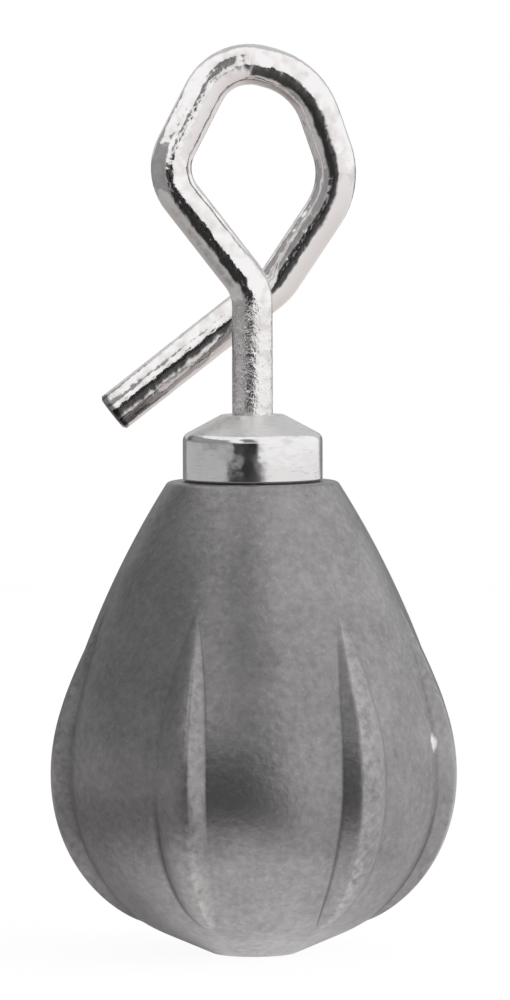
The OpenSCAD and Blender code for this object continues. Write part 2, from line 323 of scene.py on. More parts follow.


# %% [markdown]
# ### Where the ribs wear, catch painted light and hold painted shade
# A rib is rubbed bright along its crest, where painted light is added as well, and painted shade
# darkens the creases at its feet. Pointiness could find such places, but it changes with the size
# of the faces and knows nothing of sides. So each point of the skin carries two masks, worked out
# from its place on the rib. The crests are brighter on their right, which faces the lamp, and the
# painted shade is thickest along their left foot, away from the lamp, below the belt.

# %% Wear, painted light and painted shade
# The crease values below set painted shade at the rib feet, thickest on the left, away from the
# lamp.
CREASE_HALF_W = 0.16
INNER_CREASE = 0.35
OUTER_CREASE = 0.1
LEFT_CREASE = 1.0
RIGHT_CREASE = 0.1
CREASE_CHANGE = 1.2
# The wear values below also carry painted light, stronger on the right, which faces the lamp.
LEFT_WEAR_AND_LIGHT = 0.45
RIGHT_WEAR_AND_LIGHT = 1.0
MASK_RISE = 4
print("creases", 2 * CREASE_HALF_W, "of half a rib wide")


def crease_shade_at(place, leftward, h):
    """How much painted shade lies at a place across a rib, at height h."""
    at_foot = max(0.0, 1 - abs(abs(place) - 1) / CREASE_HALF_W)
    low = min(1.0, max(0.0, (BELT_H - h) / CREASE_CHANGE))
    above = INNER_CREASE if place > 0 else OUTER_CREASE
    below = LEFT_CREASE if leftward else RIGHT_CREASE
    return at_foot * (above + (below - above) * low)


def wear_and_light_at(place, leftward):
    """How much a place across a rib is rubbed, with painted light added, more on the lamp's side.
    """
    most = LEFT_WEAR_AND_LIGHT if leftward else RIGHT_WEAR_AND_LIGHT
    return most * max(0.0, 1 - abs(place) / REACH_SHARE)


# %% Slide the columns and lift the ribs
BORE_MARGIN = 0.5
BODY_SHARP_ANGLE = 50
crest_wear_and_light_mask = body.data.attributes.new("crest", "FLOAT", "POINT")
crease_shade_mask = body.data.attributes.new("crease", "FLOAT", "POINT")
for point in body.data.vertices:
    x, y, h = point.co.x / MM, point.co.y / MM, point.co.z / MM
    radius = math.hypot(x, y)
    column = round(math.degrees(math.atan2(x, -y)) / 360 * columns) % columns
    rib, step = divmod(column, COLUMNS_PER_RIB)
    share = rib_share(h) if radius > BORE_R + BORE_MARGIN else 0.0
    half_turn = math.degrees(max(share, RUN_OUT_SHARE) * RIB_W / 2 / max(radius, BASE_R))
    place, angle = slide(rib, step, half_turn)
    lift = rib_lift(place, share) if step <= RIB_COLUMNS else 0.0
    facing = plain_facing(h) if share > 0 else 0.0
    far = radius + lift * math.cos(facing)
    rise = lift * math.sin(facing)
    around = math.radians(angle)
    point.co = Vector((far * math.sin(around), -far * math.cos(around), h + rise)) * MM
    leftward = place * inner_turn(rib) < 0
    fade = min(1.0, MASK_RISE * share)
    # The crease mask is painted shade; the crest mask is wear with painted light.
    crease_shade_mask.data[point.index].value = crease_shade_at(place, leftward, h) * fade
    crest_wear_and_light_mask.data[point.index].value = wear_and_light_at(place, leftward) * fade
body.data.update()
smooth(body, BODY_SHARP_ANGLE)
report(body)

# %% [markdown]
# ## The swivel barrel
# The barrel is turned brass with nickel plate: a grooved stem that is glued into the bore, a
# collar, and a thin wall that is spun over into a cone round the wire. A lathe outline gives all
# of it in one piece, with the cavity for the wire's head. Plating and tumbling leave no sharp
# corner, so each corner of the outline gets a small fillet, and those fillets are what catches
# the light.

# %% Barrel outline
COLLAR_R = 1.55
COLLAR_H = 1.02
CONE_ANGLE = 28.2
BARREL_RIM_R = 0.69
CORNER_R = 0.2
FOOT_BEVEL = 0.06
WALL_T = 0.4
CONE_T = 0.38
STEM_R = 0.95
STEM_BEVEL = 0.15
GROOVES = 3
GROOVE_W = 0.3
GROOVE_DEPTH = 0.12
NECK_HOLE_R = 0.5
RIM_FILLET = 0.05
EDGE_FILLET = 0.03
BARREL_COLUMNS = 96
BARREL_SHARP_ANGLE = 35

cone_slope = math.tan(math.radians(CONE_ANGLE))
cone_corner_h = BODY_TOP_H + COLLAR_H
apex_h = cone_corner_h + COLLAR_R * cone_slope - CONE_T / math.cos(math.radians(CONE_ANGLE))
HEAD_FLOAT = 0.1
HEAD_R = 0.95
HEAD_H = 0.34
head_apex_h = apex_h - HEAD_FLOAT
head_rim_h = head_apex_h - HEAD_R * cone_slope
head_foot_h = head_rim_h - HEAD_H
cavity_floor_h = head_foot_h - HEAD_FLOAT
cavity_r = COLLAR_R - WALL_T
stem_length = BODY_TOP_H - STEM_FOOT_H

grooves = []
for i in range(1, GROOVES + 1):
    middle = STEM_FOOT_H + stem_length * i / (GROOVES + 1)
    low, high = middle - GROOVE_W / 2, middle + GROOVE_W / 2
    grooves += [(STEM_R, low, 0), (STEM_R - GROOVE_DEPTH, low, 0),
                (STEM_R - GROOVE_DEPTH, high, 0), (STEM_R, high, 0)]
corners = [
    (0, STEM_FOOT_H, 0),
    (STEM_R - STEM_BEVEL, STEM_FOOT_H, EDGE_FILLET),
    (STEM_R, STEM_FOOT_H + STEM_BEVEL, EDGE_FILLET),
    *grooves,
    (STEM_R, BODY_TOP_H, 0),
    (COLLAR_R - FOOT_BEVEL, BODY_TOP_H, EDGE_FILLET),
    (COLLAR_R, BODY_TOP_H + FOOT_BEVEL, EDGE_FILLET),
    (COLLAR_R, cone_corner_h, CORNER_R),
    (BARREL_RIM_R, RIM_H, RIM_FILLET),
    (NECK_HOLE_R, RIM_H, RIM_FILLET),
    (NECK_HOLE_R, apex_h - NECK_HOLE_R * cone_slope, 0),
    (cavity_r, apex_h - cavity_r * cone_slope, 0),
    (cavity_r, cavity_floor_h, 0),
    (0, cavity_floor_h, 0),
]
barrel = trace("plated_barrel", rounded(corners))
turn(barrel, BARREL_COLUMNS)
smooth(barrel, BARREL_SHARP_ANGLE)
report(barrel)

# %% [markdown]
# ## The wire eye
# The eye is one length of drawn wire. Its end is upset into a head, the shank comes up through
# the barrel, and six bends bring the tail round and back behind the shank. A curve with a round
# bevel would do, but building the wire as a maker bends it is clearer: a disc is extruded for
# each straight run and spun about the bending pin for each bend. The bends' radii and places
# are the same shares of the eye's size as in the frame.

# %% Wire route
SHANK_L = 2.79
EYE_HALF_W = 2.04
EYE_H = 5.15
TAIL_REACH = 3.08
TAIL_DROP = 2.78
PINCH_GAP = 0.06
SIDE_SHARES = [0, -0.966, -0.31, 0.6, 1, 0.26]
HEIGHT_SHARES = [0, 0.495, 1, 0.903, 0.448, 0.008]
DEPTH_SHARES = [0, 0, 0.29, 0.48, 0.73, 1]
BEND_SHARES = [0.52, 0.52, 0.56, 0.79, 0.8, 0.52]

throat_h = RIM_H + SHANK_L
tail_y = 2 * WIRE_R + PINCH_GAP
route = [Vector((0, 0, RIM_H))]
route += [
    Vector((side * EYE_HALF_W, depth * tail_y, throat_h + height * EYE_H))
    for side, height, depth in zip(SIDE_SHARES, HEIGHT_SHARES, DEPTH_SHARES)
]
route += [Vector((-TAIL_REACH, tail_y, throat_h - TAIL_DROP))]
bends = [0] + [share * EYE_HALF_W for share in BEND_SHARES] + [0]
print(len(BEND_SHARES), "bends, throat at", round(throat_h, 2), "mm")

# %% Upset head
WIRE_SIDES = 32
NECK_RINGS = 4


def push(move, steps=1):
    """Extrudes the selected disc along a move in millimetres, in equal steps."""
    for _ in range(steps):
        bpy.ops.mesh.extrude_region_move(TRANSFORM_OT_translate={"value": move * (MM / steps)})


def pinch(scale):
    """Scales the selected disc about its own centre."""
    bpy.ops.transform.resize(value=(scale, scale, scale))


bpy.ops.object.select_all(action="DESELECT")
bpy.ops.mesh.primitive_circle_add(vertices=WIRE_SIDES, radius=HEAD_R * MM, fill_type="NGON")
wire = bpy.context.object
wire.name = "bent_wire"
up = Vector((0, 0, 1))
bpy.ops.object.mode_set(mode="EDIT")
bpy.ops.mesh.select_all(action="SELECT")
bpy.ops.transform.translate(value=up * head_foot_h * MM)
push(up * HEAD_H)
push(up * (HEAD_R - WIRE_R) * cone_slope)
pinch(WIRE_R / HEAD_R)
push(up * (RIM_H - (head_apex_h - WIRE_R * cone_slope)), NECK_RINGS)
print("head", round(2 * HEAD_R, 2), "mm across, foot at", round(head_foot_h, 2), "mm")

# %% Straight runs and bends
RING_STEP = 0.14
BEND_STEP = 6.0
FEWEST_BEND_STEPS = 4


def trim(i):
    """How much of the straight on each side of corner i its bend takes up."""
    if bends[i] == 0:
        return 0.0
    turned = (route[i] - route[i - 1]).angle(route[i + 1] - route[i])
    return bends[i] * math.tan(turned / 2)


for i in range(1, len(route)):
    along = (route[i] - route[i - 1]).normalized()
    run = (route[i] - route[i - 1]).length - trim(i - 1) - trim(i)
    push(along * run, max(1, round(run / RING_STEP)))
    if bends[i] == 0:
        continue
    onward = (route[i + 1] - route[i]).normalized()
    turned = along.angle(onward)
    inward = (onward - along * along.dot(onward)).normalized()
    pin = route[i] - along * trim(i) + inward * bends[i]
    bpy.ops.mesh.spin(
        steps=max(FEWEST_BEND_STEPS, round(math.degrees(turned) / BEND_STEP)),
        angle=-turned,
        center=pin * MM,
        axis=along.cross(inward),
    )
print("tail ends at", [round(value, 2) for value in route[-1]], "mm")

# %% Sheared end of the tail
TAIL_BURR = 0.05
BURR_PINCH = 0.86
CUT_INSET = 0.12
push(along * TAIL_BURR)
pinch(BURR_PINCH)
bpy.ops.mesh.inset(thickness=CUT_INSET * MM)
bpy.ops.mesh.select_all(action="SELECT")
bpy.ops.mesh.remove_doubles(threshold=WELD)
bpy.ops.mesh.normals_make_consistent(inside=False)
bpy.ops.object.mode_set(mode="OBJECT")

# %% [markdown]
# ### Where the wire is cut, shaded and rubbed
# Three more masks sit on the wire's points: its sheared end is dark, its undersides get a painted
# brownish shade, and the shank below the throat is rubbed and chipped. Such a mask follows the wire
# round its bends, and keeps off the tail where it passes close behind the shank.

# %% Wire masks
CUT_LENGTH = 0.18
SHANK_FADE = 0.6
WIRE_SHARP_ANGLE = 40
cut_mask = wire.data.attributes.new("cut", "FLOAT", "POINT")
underside_shade_mask = wire.data.attributes.new("underside", "FLOAT", "POINT")
shank_mask = wire.data.attributes.new("shank", "FLOAT", "POINT")
for point in wire.data.vertices:
    short = (route[-1] - point.co / MM).dot(along)
    near = (point.co / MM - route[-1]).length < 2 * WIRE_R
    cut_mask.data[point.index].value = max(0.0, 1 - short / CUT_LENGTH) if near else 0.0
    # Painted brownish shade on the undersides: the more a point faces down, the more shade it gets.
    underside_shade_mask.data[point.index].value = max(0.0, -point.normal.z)
    under_throat = (throat_h - point.co.z / MM) / SHANK_FADE
    behind = point.co.y / MM > WIRE_R + PINCH_GAP / 2
    shank_mask.data[point.index].value = 0.0 if behind else min(1.0, max(0.0, under_throat))
smooth(wire, WIRE_SHARP_ANGLE)
report(wire)

# %% [markdown]
# ## Materials
# All patterns read Object coordinates in millimetres, so the grain is as fine as it is on the real
# sinker whatever the piece. An effect that more than one material needs is a node group, built
# once. These helpers make a group with named sockets, add a node with its values, and do the sums
# between nodes.


# %% Node helpers
def new_group(name, inputs, outputs):
    """A shader node group. inputs are (name, kind, default), outputs are (name, kind)."""
    tree = bpy.data.node_groups.new(name, "ShaderNodeTree")
    for title, kind, default in inputs:
        socket = tree.interface.new_socket(name=title, in_out="INPUT", socket_type=kind)
        if default is not None:
            socket.default_value = default
    for title, kind in outputs:
        tree.interface.new_socket(name=title, in_out="OUTPUT", socket_type=kind)
    return tree, tree.nodes.new("NodeGroupInput"), tree.nodes.new("NodeGroupOutput")


def feed(tree, socket, value):
    """Links another node's socket to this one, or else sets it to a plain value."""
    if isinstance(value, bpy.types.NodeSocket):
        tree.links.new(value, socket)
    else:
        socket.default_value = value


def add(tree, kind, settings=None, **values):
    """A node with its settings and the values of its sockets, by name or as i and a number."""
    node = tree.nodes.new(kind)
    for key, value in (settings or {}).items():
        setattr(node, key, value)
    for key, value in values.items():
        numbered = key[0] == "i" and key[1:].isdigit()
        feed(tree, node.inputs[int(key[1:]) if numbered else key], value)
    return node


def math_node(tree, operation, a, b):
    """One sum of two values or sockets."""
    return add(tree, "ShaderNodeMath", {"operation": operation}, i0=a, i1=b).outputs[0]


def remap(tree, value, low, high, to_low, to_high):
    """Value between low and high, moved to between to_low and to_high."""
    node = add(tree, "ShaderNodeMapRange", None, i0=value, i1=low, i2=high, i3=to_low, i4=to_high)
    return node.outputs[0]


# %% [markdown]
# ### Grain
# Pressed and sintered metal is matt and mottled: soft blotches a millimetre across from uneven
# packing, a fine grain from the powder, and scattered ragged flecks. One noise texture for each of
# the three gives that, at three sizes. Round dots from a Voronoi texture would look drilled; noise
# that is cut off at its low end leaves ragged flecks instead.

# %% Grain group
NOISE_LOW, NOISE_HIGH = 0.3, 0.7
FLECK_EDGE = 0.42
GRAIN_ROUGHNESS = 0.6
grain, grain_in, grain_out = new_group(
    "Grain",
    [("Coords", "NodeSocketVector", None), ("Blotch size", "NodeSocketFloat", 1.4),
     ("Grain size", "NodeSocketFloat", 0.1), ("Fleck size", "NodeSocketFloat", 0.2)],
    [("Blotch", "NodeSocketFloat"), ("Grain", "NodeSocketFloat"), ("Fleck", "NodeSocketFloat")],
)
for name, detail, high, at_low, at_high in [
    ("Blotch", 5.0, NOISE_HIGH, 0.0, 1.0),
    ("Grain", 3.0, NOISE_HIGH, 0.0, 1.0),
    ("Fleck", 2.0, FLECK_EDGE, 1.0, 0.0),
]:
    scale = math_node(grain, "DIVIDE", 1.0, grain_in.outputs[name + " size"])
    noise = add(grain, "ShaderNodeTexNoise", None, Vector=grain_in.outputs["Coords"],
                Scale=scale, Detail=detail, Roughness=GRAIN_ROUGHNESS)
    level = remap(grain, noise.outputs[0], NOISE_LOW, high, at_low, at_high)
    grain.links.new(level, grain_out.inputs[name])
print("group", grain.name, "with", len(grain.nodes), "nodes")

# %% [markdown]
# ### Scuffs
# Loose sinkers rub against each other in a box, which leaves short fine scratches and tiny dents
# in plate and wire. Noise that is stretched along one direction reads as scratches; a second,
# round noise breaks them up so that they don't run on for ever.

# %% Scuff group
SCRATCH_FROM, SCRATCH_FULL = 0.52, 0.68
BROKEN_BELOW, WHOLE_ABOVE = 0.4, 0.6
scuffs, scuffs_in, scuffs_out = new_group(
    "Scuffs",
    [("Coords", "NodeSocketVector", None), ("Stretch", "NodeSocketVector", (1.0, 1.0, 8.0)),
     ("Scratch size", "NodeSocketFloat", 0.06), ("Dent size", "NodeSocketFloat", 0.35)],
    [("Scratch", "NodeSocketFloat"), ("Dent", "NodeSocketFloat")],
)
stretched = add(scuffs, "ShaderNodeVectorMath", {"operation": "DIVIDE"},
                i0=scuffs_in.outputs["Coords"], i1=scuffs_in.outputs["Stretch"]).outputs[0]
scratch_scale = math_node(scuffs, "DIVIDE", 1.0, scuffs_in.outputs["Scratch size"])
scratch = add(scuffs, "ShaderNodeTexNoise", None, Vector=stretched, Scale=scratch_scale, Detail=2.0)
dent_scale = math_node(scuffs, "DIVIDE", 1.0, scuffs_in.outputs["Dent size"])
dent = add(scuffs, "ShaderNodeTexNoise", None, Vector=scuffs_in.outputs["Coords"],
           Scale=dent_scale, Detail=1.5)
scored = remap(scuffs, scratch.outputs[0], SCRATCH_FROM, SCRATCH_FULL, 0.0, 1.0)
whole = remap(scuffs, dent.outputs[0], BROKEN_BELOW, WHOLE_ABOVE, 0.0, 1.0)
scuffs.links.new(math_node(scuffs, "MULTIPLY", scored, whole), scuffs_out.inputs["Scratch"])
scuffs.links.new(dent.outputs[0], scuffs_out.inputs["Dent"])
print("group", scuffs.name, "with", len(scuffs.nodes), "nodes")


# %% Material helpers
def coords_in_mm(tree):
    """The socket of a piece's Object coordinates in millimetres."""
    place = add(tree, "ShaderNodeTexCoord")
    return add(tree, "ShaderNodeMapping", None, Vector=place.outputs["Object"],
               Scale=(1 / MM, 1 / MM, 1 / MM)).outputs[0]


def new_material(name, metallic, roughness):
    """A material with a Principled shader, and Object coordinates in millimetres."""
    material = bpy.data.materials.new(name)
    material.use_nodes = True
    tree = material.node_tree
    shader = tree.nodes["Principled BSDF"]
    shader.inputs["Metallic"].default_value = metallic
    shader.inputs["Roughness"].default_value = roughness
    return material, tree, shader, coords_in_mm(tree)


def use_group(tree, group, **values):
    """A node of the group in a material; names of sockets are given with _ for a space."""
    node = tree.nodes.new("ShaderNodeGroup")
    node.node_tree = group
    for key, value in values.items():
        feed(tree, node.inputs[key.replace("_", " ")], value)
    return node


def mask(tree, name):
    """The socket of a mask that a piece's points carry."""
    return add(tree, "ShaderNodeAttribute", {"attribute_name": name}).outputs["Fac"]


def mix_colour(tree, factor, a, b):
    """A mix of two colours or sockets."""
    return add(tree, "ShaderNodeMix", {"data_type": "RGBA"}, i0=factor, i6=a, i7=b).outputs[2]


def bump(tree, shader, height, distance):
    """Feeds a height, of so many millimetres at 1, to the shader's normal."""
    node = add(tree, "ShaderNodeBump", None, Height=height, Distance=distance * MM)
    tree.links.new(node.outputs[0], shader.inputs["Normal"])


# %% [markdown]
# ### Sintered tungsten
# The real metal is a dark, matt grey with a faint sheen, between a metal and a stone to look at.
# A Principled shader that is mostly metallic and rough gives the broad soft lobes of light. The
# blotches and the grain vary its colour and roughness. The crest of each rib, which rubs first, is
# a little brighter, and so are the flecks; the crests also carry painted light, stronger on their
# right, the lamp's side, and the creases are darkened with painted shade.

# %% Sintered material
SINTER_DARK = (0.205, 0.2, 0.204, 1)
SINTER_LIGHT = (0.362, 0.351, 0.356, 1)
# The next colour is the rubbed tone of crests and flecks, also used as painted light on the crests.
WORN_AND_LIT = (0.5, 0.485, 0.475, 1)
# The next colour is painted shade for the creases.
CREASE_SHADE_TONE = (0.1, 0.098, 0.097, 1)
BLOTCH_SHARE = 0.5
WEAR_AND_LIGHT_FROM, WEAR_AND_LIGHT_MOST = 0.3, 0.75
FLECK_SHARE = 0.22
CREASE_SHADE_SHARE = 0.85
DARK_ROUGHNESS, LIGHT_ROUGHNESS = 0.42, 0.32
GRAIN_DEPTH = 0.004
sintered, tree, shader, coords = new_material("sintered_tungsten", metallic=0.85, roughness=0.45)
fine = use_group(tree, grain, Coords=coords, Blotch_size=1.3, Grain_size=0.17, Fleck_size=0.12)
tone = math_node(tree, "ADD", math_node(tree, "MULTIPLY", fine.outputs["Blotch"], BLOTCH_SHARE),
                 math_node(tree, "MULTIPLY", fine.outputs["Grain"], 1 - BLOTCH_SHARE))
base = mix_colour(tree, tone, SINTER_DARK, SINTER_LIGHT)
# Real wear on the crests, with painted light that is stronger on the lamp's side.
rubbed_and_lit = remap(tree, mask(tree, "crest"), WEAR_AND_LIGHT_FROM, 1.0, 0.0, WEAR_AND_LIGHT_MOST)
worn_and_lit_base = mix_colour(tree, math_node(tree, "MULTIPLY", rubbed_and_lit, fine.outputs["Grain"]), base, WORN_AND_LIT)
specks = math_node(tree, "MULTIPLY", fine.outputs["Fleck"], FLECK_SHARE)
flecked = mix_colour(tree, specks, worn_and_lit_base, WORN_AND_LIT)
# Painted shade darkens the creases at the rib feet.
crease_darkening = math_node(tree, "MULTIPLY", mask(tree, "crease"), CREASE_SHADE_SHARE)
crease_shaded = mix_colour(tree, crease_darkening, flecked, CREASE_SHADE_TONE)
tree.links.new(remap(tree, tone, 0.0, 1.0, DARK_ROUGHNESS, LIGHT_ROUGHNESS),
               shader.inputs["Roughness"])
bump(tree, shader, fine.outputs["Grain"], GRAIN_DEPTH)
print(sintered.name, "with", len(tree.nodes), "nodes")

# %% [markdown]
# ### The painted glint
# Just above the belt, on the right, a small glint at a nick, taller than wide, is painted into the
# colour as a bright patch, a painted highlight. A painted texture would need an unwrapped body. A
# distance from the glint's middle, squeezed and made ragged by the grain, needs none.

# %% Painted glint in the sintered material
# A painted highlight: a bright patch in the base colour, where a glint shows at a small nick.
GLINT_AT = (3.98, -1.73, 4.83)
GLINT_R = 0.16
GLINT_EDGE = 0.12
GLINT_RAGGEDNESS = 0.08
GLINT_SQUEEZE = (1.5, 1.5, 0.9)
PAINTED_GLINT = (0.95, 0.94, 0.93, 1)
off = add(tree, "ShaderNodeVectorMath", {"operation": "SUBTRACT"}, i0=coords, i1=GLINT_AT)
off = add(tree, "ShaderNodeVectorMath", {"operation": "MULTIPLY"},
          i0=off.outputs[0], i1=GLINT_SQUEEZE)
off = add(tree, "ShaderNodeVectorMath", {"operation": "LENGTH"}, i0=off.outputs[0])
ragged = math_node(tree, "ADD", off.outputs["Value"],
                   math_node(tree, "MULTIPLY", fine.outputs["Grain"], GLINT_RAGGEDNESS))
glint = remap(tree, ragged, GLINT_R, GLINT_R + GLINT_EDGE, 1.0, 0.0)
# The bright patch is a painted highlight in the base colour.
tree.links.new(mix_colour(tree, glint, crease_shaded, PAINTED_GLINT), shader.inputs["Base Color"])
print("nick at", GLINT_AT, "mm")

# %% [markdown]
# ### Nickel plate and spring wire
# Both are bright metals, so their look is what they reflect, and the small faults in their skin
# are what makes them read as real. The plate is smooth on the turned collar and duller on the
# cone, where the spinning tool has rubbed. The wire was drawn through a die and then bent with
# pliers, so it has more dents. Its dents carry a brownish tarnish, its undersides a painted
# brownish shade, its shank is rubbed and chipped, and its sheared end is dark.

# %% Plate material
PLATE = (0.79, 0.78, 0.78, 1)
PLATE_DULL = (0.66, 0.65, 0.65, 1)
PLATE_SMOOTH, PLATE_ROUGH = 0.1, 0.2
CONE_EDGE_BELOW, CONE_EDGE_ABOVE = 0.05, 0.1
CONE_DULLNESS = 0.16
PLATE_DENT_DEPTH = 0.01
plated, tree, shader, coords = new_material("nickel_plate", metallic=1.0, roughness=0.2)
marks = use_group(tree, scuffs, Coords=coords, Scratch_size=0.05, Dent_size=0.3,
                  Stretch=(6.0, 6.0, 1.0))
tree.links.new(mix_colour(tree, marks.outputs["Scratch"], PLATE, PLATE_DULL),
               shader.inputs["Base Color"])
height = add(tree, "ShaderNodeSeparateXYZ", None, Vector=coords).outputs["Z"]
spun = remap(tree, height, cone_corner_h - CONE_EDGE_BELOW, cone_corner_h + CONE_EDGE_ABOVE,
             0.0, CONE_DULLNESS)
polish = remap(tree, marks.outputs["Dent"], NOISE_LOW, NOISE_HIGH, PLATE_SMOOTH, PLATE_ROUGH)
tree.links.new(math_node(tree, "ADD", polish, spun), shader.inputs["Roughness"])
bump(tree, shader, marks.outputs["Dent"], PLATE_DENT_DEPTH)
print(plated.name, "with", len(tree.nodes), "nodes")

# %% Wire material
WIRE = (0.84, 0.825, 0.825, 1)
# The next colour is tarnish for the dents, and painted brownish shade for the undersides.
TARNISH_AND_SHADE = (0.5, 0.44, 0.4, 1)
CUT_DARK = (0.16, 0.15, 0.145, 1)
TARNISH_FROM, TARNISH_MOST = 0.45, 0.4
UNDERSIDE_SHADE = 0.9
CUT_FROM, CUT_FULL = 0.8, 1.1
WIRE_SMOOTH, WIRE_ROUGH = 0.11, 0.26
SHANK_DULLNESS = 0.04
CHIP_SHARE = 0.55
WIRE_DENT_DEPTH = 0.02
spring, tree, shader, coords = new_material("spring_wire", metallic=1.0, roughness=0.25)
marks = use_group(tree, scuffs, Coords=coords, Scratch_size=0.04, Dent_size=0.28,
                  Stretch=(1.0, 1.0, 9.0))
flecks = use_group(tree, grain, Coords=coords, Grain_size=0.1, Fleck_size=0.13)
patchy = remap(tree, marks.outputs["Dent"], TARNISH_FROM, NOISE_HIGH, 0.0, TARNISH_MOST)
# Painted brownish shade on the undersides.
underside_shade = math_node(tree, "MULTIPLY", mask(tree, "underside"), UNDERSIDE_SHADE)
drawn = mix_colour(tree, math_node(tree, "MAXIMUM", patchy, underside_shade), WIRE, TARNISH_AND_SHADE)
sheared = remap(tree, math_node(tree, "ADD", mask(tree, "cut"), marks.outputs["Dent"]),
                CUT_FROM, CUT_FULL, 0.0, 1.0)
tree.links.new(mix_colour(tree, sheared, drawn, CUT_DARK), shader.inputs["Base Color"])
shank = mask(tree, "shank")
polish = remap(tree, marks.outputs["Scratch"], 0.0, 1.0, WIRE_SMOOTH, WIRE_ROUGH)
dulled = math_node(tree, "MULTIPLY", shank, SHANK_DULLNESS)
tree.links.new(math_node(tree, "ADD", polish, dulled), shader.inputs["Roughness"])
chips = math_node(tree, "MULTIPLY", shank, math_node(tree, "ADD", flecks.outputs["Fleck"],
                                                     flecks.outputs["Grain"]))
relief = math_node(tree, "ADD", marks.outputs["Dent"],
                   math_node(tree, "MULTIPLY", chips, CHIP_SHARE))
bump(tree, shader, relief, WIRE_DENT_DEPTH)
print(spring.name, "with", len(tree.nodes), "nodes")

# %% [markdown]
# ### Cured adhesive
# The adhesive lies hidden round the barrel's stem. Its CAD solid already has the shape of the gap
# that it fills, so it is shown as it is, in a plain yellowish epoxy with soft blotches.

# %% Adhesive material
EPOXY_DARK = (0.55, 0.46, 0.28, 1)
EPOXY_LIGHT = (0.68, 0.6, 0.42, 1)
epoxy, tree, shader, coords = new_material("cured_epoxy", metallic=0.0, roughness=0.4)
fine = use_group(tree, grain, Coords=coords, Blotch_size=0.8, Grain_size=0.08)
tree.links.new(mix_colour(tree, fine.outputs["Blotch"], EPOXY_DARK, EPOXY_LIGHT),
               shader.inputs["Base Color"])
bump(tree, shader, fine.outputs["Grain"], GRAIN_DEPTH)
print(epoxy.name, "with", len(tree.nodes), "nodes")

# %% [markdown]
# ## Joining the pieces to the frame
# Each modelled piece takes its material, rides on the body that carries it, fills a material slot
# and replaces its CAD solid. The wire rides on the eye, so that it turns with the joint.

# %% Dress the pieces
for piece, material, body_name, slot, node in [
    (body, sintered, "sinker", "sintered_body", "sinker_body"),
    (barrel, plated, "sinker", "plated_barrel", "swivel_barrel"),
    (wire, spring, "eye", "spring_wire", "line_eye"),
]:
    piece.data.materials.clear()
    piece.data.materials.append(material)
    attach(piece, body_name)
    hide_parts(node)
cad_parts["adhesive_bond"].data.materials.clear()
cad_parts["adhesive_bond"].data.materials.append(epoxy)
print("dressed", [piece.name for piece in (body, barrel, wire)])

# %% [markdown]
# ## Camera
# The photograph was taken from a little above, from about 150 mm away with a long lens. The view
# is square on to the sinker, so the camera only moves back and up from the point it looks at. It
# is rolled by a fifth of a degree, because the sinker stands that much out of plumb in the picture.

# %% Camera
VIEW_H = 22.17
VIEW_DISTANCE = 150
VIEW_ELEVATION = 3.5
VIEW_ROLL = 0.2
VIEW_CENTRE = Vector((0.08, 0, 10.07))
SENSOR = 36
CLIP_NEAR = 10
elevation = math.radians(VIEW_ELEVATION)
camera = bpy.data.objects.new("camera", bpy.data.cameras.new("camera"))
bpy.context.scene.collection.objects.link(camera)
camera.data.sensor_width = SENSOR
camera.data.lens = SENSOR * VIEW_DISTANCE / VIEW_H
camera.data.clip_start = CLIP_NEAR * MM
back_and_up = Vector((0, -math.cos(elevation), math.sin(elevation)))
camera.location = (VIEW_CENTRE + VIEW_DISTANCE * back_and_up) * MM
camera.rotation_euler = (math.pi / 2 - elevation, math.radians(VIEW_ROLL), 0)
bpy.context.scene.camera = camera
print("lens", round(camera.data.lens, 1), "mm")

# %% [markdown]
# ## A light tent
# Bright metal shows its surroundings, so the light is built as a small product tent: a white
# world, a paper floor, cards that stand round the sinker, and one soft lamp. An image of a studio
# would be quicker, but its parts couldn't be moved one by one. The world is white to the camera, a
# little brighter in reflections, and half as bright for the soft light on the sinker.

# %% World
WHITE = (1, 1, 1, 1)
SOFT_LIGHT = 0.5
GLOSS_LIGHT = 1.08
world = bpy.data.worlds.new("tent")
bpy.context.scene.world = world
world.use_nodes = True
tree = world.node_tree
tree.nodes.clear()
path = add(tree, "ShaderNodeLightPath")
seen = math_node(tree, "MAXIMUM", path.outputs["Is Camera Ray"],
                 math_node(tree, "MAXIMUM", path.outputs["Is Glossy Ray"],
                           path.outputs["Is Transmission Ray"]))
soft = add(tree, "ShaderNodeBackground", None, Color=WHITE, Strength=SOFT_LIGHT)
shine = remap(tree, path.outputs["Is Glossy Ray"], 0.0, 1.0, 1.0, GLOSS_LIGHT)
white = add(tree, "ShaderNodeBackground", None, Color=WHITE, Strength=shine)
either = add(tree, "ShaderNodeMixShader", None, i0=seen, i1=soft.outputs[0], i2=white.outputs[0])
add(tree, "ShaderNodeOutputWorld", None, Surface=either.outputs[0])
print("world", world.name, "with", len(tree.nodes), "nodes")

# %% [markdown]
# ## The paper floor
# To the camera the paper is mostly clean white, with a share of its own matt shade, which holds
# the sinker's shadow. In the metal it isn't even: it is bright close to the sinker, dimmer on the
# left than on the right, and dark in front, towards the dark card. Cards alone don't shade the
# paper in such a pattern, so an emission that only glossy rays see holds it. It depends on the
# place on the paper, and not on where the camera stands.

